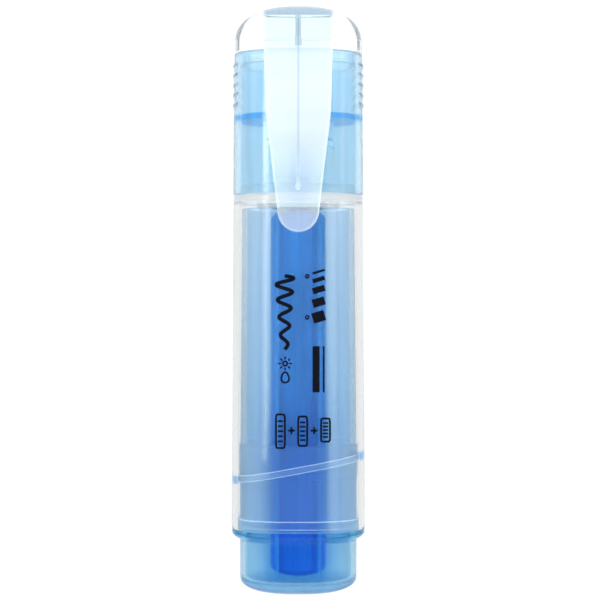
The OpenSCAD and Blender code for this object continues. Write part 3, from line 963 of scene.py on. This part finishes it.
class HIGHLIGHTER_OT_crown(bpy.types.Operator):
    """Clear crown: a hollow dome with its spigot in the cap sleeve, and the pads under the clip's root"""

    bl_idname = "highlighter.crown"
    bl_label = "Crown"

    def execute(self, context):
        size = sizes()
        seam_w = HALF_W - size["barrel_draft"] - 0.1
        wall, straight, power, fit = 1.8, 2.2, 2.3, 0.05
        rise = Y_TOP - Y_SEAM - straight
        fit_w, fit_t = seam_w - size["cap_wall"] - fit, HALF_T - size["cap_wall"] - fit
        inner_w, inner_t = seam_w - wall - 0.6, HALF_T - wall - 0.6
        inner = dome_rows(Y_SEAM, straight, rise - wall, inner_w, inner_t, power)[::-1]
        outer = dome_rows(Y_SEAM, straight, rise, seam_w, HALF_T, power)
        low = [
            oval(Y_SPIGOT, inner_w, inner_t),
            oval(Y_SPIGOT, fit_w, fit_t),
            oval(Y_SEAM + 0.05, fit_w, fit_t),
            oval(Y_SEAM + 0.05, seam_w, HALF_T),
        ]
        base = soften([inner[-1], *low, outer[0]], size["edge"])
        rows = np.vstack([inner[:-1], base, outer[1:]])
        piece = capped_piece("crown_dome", section(rows, size["points"]))
        # painted refraction: blue gathered by the lens of the dome over the clip, and by the slot between the
        # pads
        blue = (0.385, 0.55, 0.69)
        patches = ((blue, 6.7, ROOT_TOP, Y_TOP + 1), (blue, 0.6, FLEX_Y + 0.2, ROOT_TOP + 0.1))
        # the spigot is satin, and the seam has a milky line
        rough = ((Y_SPIGOT, 0.19), (Y_SEAM - 0.4, 0.19), (Y_SEAM, 0.05), (Y_TOP, 0.05))
        opened = (
            (Y_SPIGOT, 0.85), (Y_SEAM - 0.4, 0.85), (Y_SEAM - 0.15, 0.4), (Y_SEAM + 0.15, 0.4),
            (Y_SEAM + 0.35, 1.0), (Y_TOP, 1.0),
        )
        clear = clear_plastic(
            "clear_crown", colours().clear, rough, opened, wave=0.1, density=4.0, patches=patches,
        )
        finish_piece(piece, clear, "cap", "clear_plastic", "crown")

        slot, edge, along = 0.5, 6.45, (Y_MOUTH + 28.65, ROOT_TOP - 0.1)
        parts = [
            pad_points((side * slot, side * edge), along, BLADE_BACK - 0.02, (seam_w, straight, rise, power))
            for side in (-1, 1)
        ]
        pads = make_piece("clip_pads", *joined(parts))
        frosted = frosted_plastic("frosted_pads", colours().clip, even(0.15))
        finish_piece(pads, frosted, "cap", "clear_plastic", "crown")
        return {"FINISHED"}


def dome_height(x, y, seam_w, straight, rise, power):
    """Height over the axis of the dome's front at (x, y)."""
    s = np.clip((y - Y_SEAM - straight) / rise, 0, 0.999)
    k = (1 - s ** power) ** (1 / power)
    return oval_front(x / k, seam_w, HALF_T) * k


def pad_points(across, along, top, dome):
    """A pad between the dome and the clip: its underside follows the dome, and its edges are rounded."""
    t = np.linspace(0, 2 * np.pi, 96, endpoint=False)
    # rings out over the underside, up the side and in over the top, as shares of the outline and the height
    share = np.array([0.01, 0.25, 0.5, 0.75, 0.93, 1.0, 1.0, 0.93, 0.75, 0.5, 0.25, 0.01])[:, None]
    level = np.array([0, 0, 0, 0, 0, 0.15, 0.93, 1, 1, 1, 1, 1])[:, None]
    x, y = (
        (low + high) / 2 + (high - low) / 2 * signed_power(wave, 0.22) * share
        for (low, high), wave in ((sorted(across), np.cos(t)), (along, np.sin(t)))
    )
    low = dome_height(x, y, *dome) + 0.01
    z = low + (top - low) * level
    return capped_points(np.stack([x, y, z], axis=-1))


class HIGHLIGHTER_OT_clip(bpy.types.Operator):
    """Clear clip: a blade that narrows to a round tip, with bevelled edges, a ridge, a keel and a bead"""

    bl_idname = "highlighter.clip"
    bl_label = "Clip"

    def execute(self, context):
        front, back, top, tip = BLADE_FRONT, BLADE_BACK, ROOT_TOP, CLIP_LOW[1]
        # d runs down the side from the root: it narrows slowly, then faster from start on, by log(1 + e^d)
        tip_r, start, half, slow, corner = 3.9, 18.3, 6.6, 0.022, 0.3
        centre = tip + tip_r
        length = top - centre
        fast = (half - slow * length - tip_r) / (length - start)
        d = np.concatenate([np.linspace(0, corner, 4)[:-1], np.linspace(corner, length, 90)])
        rounding = 1 - np.sqrt(np.clip(1 - (1 - np.clip(d / corner, 0, 1)) ** 2, 0, 1))
        side_x = half - slow * d - fast * np.log1p(np.exp(d - start)) - corner * rounding
        a = np.linspace(0, np.pi / 2, 24)[1:]
        right = np.vstack([
            np.column_stack([side_x, top - d]),
            np.column_stack([tip_r * np.cos(a), centre - tip_r * np.sin(a)]),
        ])
        left = right[-2::-1] * [-1, 1]
        lid_x = np.linspace(-side_x[0], side_x[0], 25)[1:-1]
        lid = np.column_stack([lid_x, np.full(len(lid_x), top)])
        outline = np.vstack([right, left, lid])
        count = len(outline)
        # inward normals of the outline
        step = np.roll(outline, -1, axis=0) - np.roll(outline, 1, axis=0)
        normal = np.column_stack([step[:, 1], -step[:, 0]])
        normal /= np.linalg.norm(normal, axis=1)[:, None]
        if np.sum(normal * (outline - outline.mean(axis=0))) > 0:
            normal = -normal
        spine = np.column_stack([np.zeros(count), np.clip(outline[:, 1], centre, top - 0.5)])
        # (inset, share of the way on to the spine, height) of rings from the back's middle out, round the
        # edge, and in to the front's middle
        steps = [
            (0.3, 1, back), (0.3, 0.5, back), (0.28, 0, back), (0.12, 0, back + 0.03), (0.03, 0, back + 0.12),
            (0, 0, back + 0.28), (0, 0, front - 0.5), (0.03, 0, front - 0.34), (0.12, 0, front - 0.2),
            (0.42, 0, front - 0.03), (0.5, 0, front - 0.005), (0.62, 0, front), (0.62, 0.5, front),
            (0.62, 0.9, front), (0.62, 0.96, front), (0.62, 1, front),
        ]
        rings = np.empty((len(steps), count, 3))
        for ring, (inset, share, height) in zip(rings, steps):
            base = outline + normal * inset
            ring[:, :2] = base + (spine - base) * share
            ring[:, 2] = height
        # a fine raised ridge along the middle of the front
        face, ridge_rise, ridge_half = rings[9:], 0.09, 0.22
        face[..., 2] -= ridge_rise * np.clip(np.abs(face[..., 0]) / ridge_half, 0, 1)
        blade = make_piece("clip_blade", rings.reshape(-1, 3), grid_quads(len(rings), count))
        # the edge between the two bevels is milky, a painted highlight along it
        rim = np.zeros(rings.shape[:2], np.float32)
        rim[4:8] = 0.85
        blade.data.attributes.new("rim", "FLOAT", "POINT").data.foreach_set("value", rim.ravel())
        merge_doubles(blade)
        opened = (
            (tip, 0.8), (tip + 9, 0.77), (tip + 14, 0.62), (tip + 21, 0.42), (Y_SEAM - 7, 0.36),
            (Y_SEAM - 2, 0.48), (Y_SEAM + 0.2, 0.74), (top, 0.78),
        )
        # painted light: a lilac glow over the tip; painted shade along the foot of the ridge
        painted_tip_blue = ((0.8, 0.86, 0.96), 2.2, Y_MOUTH - 4, KEEL_TOP, 1.8, 4.5)
        painted_ridge_shade = ((0.66, 0.8, 0.9), 0.13, Y_MOUTH + 1.5, top, 0.09, 0.5)
        clear = frosted_plastic("frosted_clip", colours().clip, opened, rim=True, patches=(painted_tip_blue, painted_ridge_shade))
        blade.data.materials.append(clear)
        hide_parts("clip")
        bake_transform(blade)

        # the keel is a thin fin that deepens towards the bead, a ball near its end
        keel_half, keel_depth, bead_r, bead_y = 0.33, 0.88, 0.62, Y_MOUTH + 0.9
        y = np.linspace(KEEL_TOP, Y_MOUTH + 0.2, 40)[:, None]
        depth = np.clip((KEEL_TOP - y) / (KEEL_TOP - bead_y), 0, 1) * keel_depth + 0.02
        t = np.linspace(0, 2 * np.pi, 24, endpoint=False)
        px = keel_half * signed_power(np.cos(t), 0.5)
        pz = back - 0.02 - depth * (0.5 - 0.5 * signed_power(np.sin(t), 0.5))
        keel = capped_points(np.stack(np.broadcast_arrays(px, y, pz), axis=-1))
        turn = np.linspace(0.08, np.pi - 0.08, 24)
        bead = section([disc(bead_y + bead_r * np.cos(b), bead_r * np.sin(b)) for b in turn], 32)
        bead[..., 2] += back - 0.66
        fin = make_piece("clip_keel", *joined([keel, capped_points(bead)]))
        white = frosted_plastic("frosted_keel", colours().clip, ((Y_MOUTH + 1.4, 0.1), (Y_MOUTH + 1.8, 0.6)))
        finish_piece(fin, white, "clip", "clip_plastic", "clip")
        return {"FINISHED"}


def merge_doubles(piece):
    """Joins points of a piece that lie on each other, and drops the faces that this closes up."""
    work = bmesh.new()
    work.from_mesh(piece.data)
    bmesh.ops.remove_doubles(work, verts=work.verts, dist=1e-7)
    bmesh.ops.dissolve_degenerate(work, edges=work.edges, dist=1e-8)
    bmesh.ops.recalc_face_normals(work, faces=work.faces)
    work.to_mesh(piece.data)
    work.free()


def ribbon(path, width, size, closed=False):
    """A printed line as a thin closed film on the barrel's front. Path points (x, y) are carried width / 2
    to each side, and every point is lifted to the oval's height there."""
    path = np.asarray(path, float)
    if closed:
        step = np.roll(path, -1, axis=0) - np.roll(path, 1, axis=0)
    else:
        step = np.gradient(path, axis=0)
    normal = np.column_stack([-step[:, 1], step[:, 0]])
    normal /= np.linalg.norm(normal, axis=1)[:, None]
    # seven points across the line's face, then seven back under it
    face, top, foot = 7, 0.03, 0.005
    across = np.linspace(-0.5, 0.5, face) * width
    across = np.concatenate([across, across[::-1]])
    lift = np.repeat([top, foot], face)
    x = path[:, 0, None] + normal[:, 0, None] * across
    y = path[:, 1, None] + normal[:, 1, None] * across
    z = oval_front(x, barrel_half_width(y, size), HALF_T) + lift
    points = np.stack([x, y, z], axis=-1)
    if closed:
        quads = grid_quads(len(path), 2 * face, wrap_rows=True)
        return points.reshape(-1, 3), quads, np.zeros((0, 3), int)
    return capped_points(points)


def line(a, b, count=12):
    """Points from a to b."""
    return np.linspace(a, b, count)


def loop(centre, half_x, half_y, power=2.0, count=40):
    """A closed outline round a centre: an ellipse, or squarer with a higher power."""
    t = np.linspace(0, 2 * np.pi, count, endpoint=False)
    x = centre[0] + half_x * signed_power(np.cos(t), 2 / power)
    y = centre[1] + half_y * signed_power(np.sin(t), 2 / power)
    return np.column_stack([x, y])


class HIGHLIGHTER_OT_print(bpy.types.Operator):
    """Printed marks: line-width bars, a chisel stroke, a wave, a sun and a drop, and three page icons"""

    bl_idname = "highlighter.print"
    bl_label = "Printed marks"

    def execute(self, context):
        size = sizes()
        strokes = []
        # five bars that grow from fine to broad
        for y, width in ((5.4, 0.45), (3.9, 0.8), (2.0, 1.2), (-0.4, 1.6), (-3.2, 2.0)):
            strokes.append((line((2.75, y - 0.35), (5.05, y + 0.35)), width, False))
        # a broad chisel stroke beside a fine line
        strokes.append((line((3.4, -8.8), (3.4, -17.6), 40), 1.35, False))
        strokes.append((line((4.85, -8.8), (4.85, -17.6), 40), 0.35, False))
        # a flowing wave that settles
        share, turns = np.linspace(0, 1, 240), 4.5
        sway = (1.75 - 1.2 * share) * np.sin(2 * np.pi * turns * share ** 0.85)
        strokes.append((np.column_stack([-2.6 + sway, 4.6 - 14 * share]), 0.72, False))
        # a sun and a drop
        sun = np.array([-2.5, -12.1])
        for angle in np.arange(8) * np.pi / 4:
            ray = np.array([np.cos(angle), np.sin(angle)])
            strokes.append((line(sun + ray * 0.78, sun + ray * 1.3, 4), 0.3, False))
        strokes.append((loop(sun, 0.42, 0.42), 0.34, True))
        drop_y = -15.0
        drop = loop((-2.5, drop_y), 0.75, 0.75)
        drop[:, 1] += np.clip(drop[:, 1] - drop_y, 0, None) ** 2 * 0.9
        strokes.append((drop, 0.34, True))
        # two small rings beside the bars
        for y in (4.5, -3.3):
            strokes.append((loop((1.7, y), 0.3, 0.3), 0.3, True))
        # three pages with ruled lines, and a cross between each pair
        for x, y, half in ((-3.4, -25.0, 3.2), (0.85, -25.0, 2.8), (5.2, -24.8, 2.2)):
            strokes.append((loop((x, y), 0.85, half, 8.0, 64), 0.38, True))
            for rule in np.linspace(-0.6, 0.6, 5) * half:
                strokes.append((line((x - 0.5, y + rule), (x + 0.5, y + rule)), 0.36, False))
        y, arm = -24.9, 0.65
        for x in (-1.3, 3.05):
            strokes.append((line((x - arm, y), (x + arm, y)), 0.36, False))
            strokes.append((line((x, y - arm), (x, y + arm)), 0.36, False))
        parts = [ribbon(path, width, size, closed) for path, width, closed in strokes]
        piece = make_piece("print_marks", *joined(parts))
        ink = moulded("print_ink", colours().print_ink, 0.6, gloss=0.1)
        finish_piece(piece, ink, "pen", "clear_plastic", "barrel")
        return {"FINISHED"}


class HIGHLIGHTER_OT_stage(bpy.types.Operator):
    """Pale floor, soft studio light and the camera over the pen"""

    bl_idname = "highlighter.stage"
    bl_label = "Stage"

    def execute(self, context):
        scene = context.scene
        scene.view_settings.view_transform = "Standard"
        scene.view_settings.look = "None"
        for kind, bounces in (
            ("max", 32), ("transmission", 32), ("transparent_max", 48), ("glossy", 8), ("diffuse", 4),
        ):
            setattr(scene.cycles, f"{kind}_bounces", bounces)

        reach, under = 4000.0, 0.06
        points = np.array([(-reach, -reach, -under), (reach, -reach, -under), (reach, reach, -under),
                           (-reach, reach, -under)])
        floor = make_piece("floor", points, np.array([[0, 1, 2, 3]]), lift=False, smooth=False)
        tree = Tree("pale_floor")
        body = tree.principled(
            Roughness=0.9, Base_Color=(0.25, 0.25, 0.25),
            Emission_Color=(1, 1, 1), Emission_Strength=0.82,
        )
        floor.data.materials.append(tree.finish(body))
        floor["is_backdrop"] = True

        world = bpy.data.worlds.new("studio")
        world.use_nodes = True
        nodes, links = world.node_tree.nodes, world.node_tree.links
        place = nodes.new("ShaderNodeTexCoord")
        split = nodes.new("ShaderNodeSeparateXYZ")
        links.new(place.outputs["Generated"], split.inputs["Vector"])
        ramp = nodes.new("ShaderNodeValToRGB")
        elements = ramp.color_ramp.elements
        elements[0].position, elements[0].color = 0.0, (0.7, 0.71, 0.72, 1)
        elements[1].position, elements[1].color = 0.3, (0.9, 0.9, 0.91, 1)
        # full over the middle heights, and dim at the zenith so that the flat front keeps its blue
        for position, grey in ((0.45, 1.0), (0.7, 1.0), (0.86, 0.55), (0.95, 0.12)):
            elements.new(position).color = (grey, grey, grey, 1)
        links.new(split.outputs["Z"], ramp.inputs["Fac"])
        back = nodes["Background"]
        links.new(ramp.outputs["Color"], back.inputs["Color"])
        back.inputs["Strength"].default_value = 1.45
        scene.world = world

        for name, place, turn, wide, tall, power in (
            ("left_softbox", (-0.19, 0.03, 0.32), (0, -0.54, 0), 0.05, 0.2, 0.065),
            ("left_spot", (-0.185, 0.068, 0.32), (0, -0.54, 0), 0.045, 0.036, 0.09),
            ("right_softbox", (0.20, 0.0, 0.32), (0, 0.56, 0), 0.09, 0.4, 0.12),
            ("right_wall", (0.34, 0.085, 0.2), (0, 1.04, 0), 0.1, 0.066, 0.05),
        ):
            light = bpy.data.lights.new(name, "AREA")
            light.shape = "RECTANGLE"
            light.size, light.size_y, light.energy = wide, tall, power
            lamp = bpy.data.objects.new(name, light)
            lamp.location, lamp.rotation_euler = place, turn
            scene.collection.objects.link(lamp)

        camera = bpy.data.cameras.new("camera")
        camera.lens, camera.sensor_width = 83.15, 36
        camera.clip_start = 0.01
        eye = bpy.data.objects.new("camera", camera)
        eye.location = (0.00033, 0.0, 0.282)
        scene.collection.objects.link(eye)
        scene.camera = eye
        return {"FINISHED"}


class HIGHLIGHTER_PT_panel(bpy.types.Panel):
    """The pen's pieces, sizes and colours"""

    bl_idname = "HIGHLIGHTER_PT_panel"
    bl_label = "Highlighter"
    bl_space_type = "VIEW_3D"
    bl_region_type = "UI"
    bl_category = "Highlighter"

    def draw(self, context):
        for operator in OPERATORS:
            self.layout.operator(operator.bl_idname)
        for group in (context.scene.highlighter_sizes, context.scene.highlighter_colours):
            box = self.layout.box()
            for name in group.bl_rna.properties.keys():
                if name not in ("rna_type", "name"):
                    box.prop(group, name)


OPERATORS = (
    HIGHLIGHTER_OT_stage,
    HIGHLIGHTER_OT_barrel,
    HIGHLIGHTER_OT_print,
    HIGHLIGHTER_OT_ink_tube,
    HIGHLIGHTER_OT_reservoir,
    HIGHLIGHTER_OT_nose,
    HIGHLIGHTER_OT_nib,
    HIGHLIGHTER_OT_cap,
    HIGHLIGHTER_OT_crown,
    HIGHLIGHTER_OT_clip,
)
CLASSES = (HighlighterSizes, HighlighterColours, *OPERATORS, HIGHLIGHTER_PT_panel)


def register():
    for cls in CLASSES:
        bpy.utils.register_class(cls)
    bpy.types.Scene.highlighter_sizes = PointerProperty(type=HighlighterSizes)
    bpy.types.Scene.highlighter_colours = PointerProperty(type=HighlighterColours)


def unregister():
    del bpy.types.Scene.highlighter_colours
    del bpy.types.Scene.highlighter_sizes
    for cls in reversed(CLASSES):
        bpy.utils.unregister_class(cls)


def main():
    """Registers the add-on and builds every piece."""
    register()
    for operator in OPERATORS:
        group, name = operator.bl_idname.split(".")
        getattr(getattr(bpy.ops, group), name)()
    boxes = {"cad": CAD_BOX, "visual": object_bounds()}
    boxes = {key: [list(corner) for corner in box] for key, box in boxes.items()}


if __name__ == "__main__":
    main()
